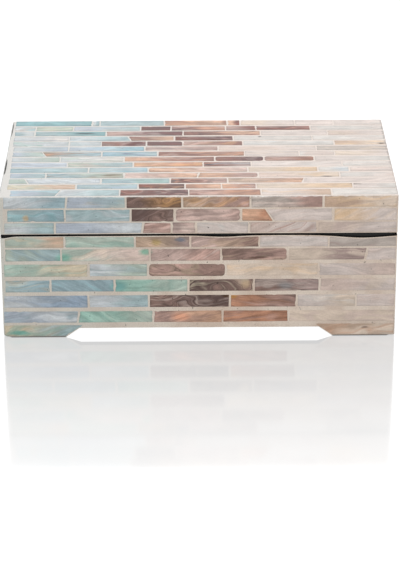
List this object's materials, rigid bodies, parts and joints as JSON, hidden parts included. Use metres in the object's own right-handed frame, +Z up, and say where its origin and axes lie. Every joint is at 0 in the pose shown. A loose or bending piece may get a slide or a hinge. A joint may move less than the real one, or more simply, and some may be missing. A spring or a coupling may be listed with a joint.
{
  "type": "shell mosaic keepsake box",
  "caption": "Rectangular lidded keepsake box on bracket feet, black boards faced with courses of shell strips that run from blue through brown to cream.",
  "frame": {"origin": "on the ground, under the middle of the box", "axes": "+X along the box to its right, +Y from front to back, +Z up. The front is the long side with the chipped left foot."},
  "size_m": [0.26, 0.15, 0.1],
  "materials": {
    "black_paint": "boards painted satin black",
    "blue_shell": "polished shell strips dyed pale blue, aqua and mint, in cream grout",
    "brown_shell": "polished shell strips in rose, umber and copper browns, in cream grout",
    "cream_shell": "polished shell strips in pearl white, cream and honey, in cream grout"
  },
  "bodies": {
    "root": {"body_front_board": "black_paint", "body_back_board": "black_paint", "body_left_board": "black_paint", "body_right_board": "black_paint", "body_floor_board": "black_paint", "lid_top_board": "black_paint", "lid_front_board": "black_paint", "lid_back_board": "black_paint", "lid_left_board": "black_paint", "lid_right_board": "black_paint", "lid_top_blue_shell": "blue_shell", "lid_top_brown_shell": "brown_shell", "lid_top_cream_shell": "cream_shell", "lid_front_blue_shell": "blue_shell", "lid_front_brown_shell": "brown_shell", "lid_front_cream_shell": "cream_shell", "lid_back_blue_shell": "blue_shell", "lid_back_brown_shell": "brown_shell", "lid_back_cream_shell": "cream_shell", "lid_left_blue_shell": "blue_shell", "lid_right_cream_shell": "cream_shell", "body_front_blue_shell": "blue_shell", "body_front_brown_shell": "brown_shell", "body_front_cream_shell": "cream_shell", "body_back_blue_shell": "blue_shell", "body_back_brown_shell": "brown_shell", "body_back_cream_shell": "cream_shell", "body_left_blue_shell": "blue_shell", "body_right_cream_shell": "cream_shell"}
  },
  "joints": []
}
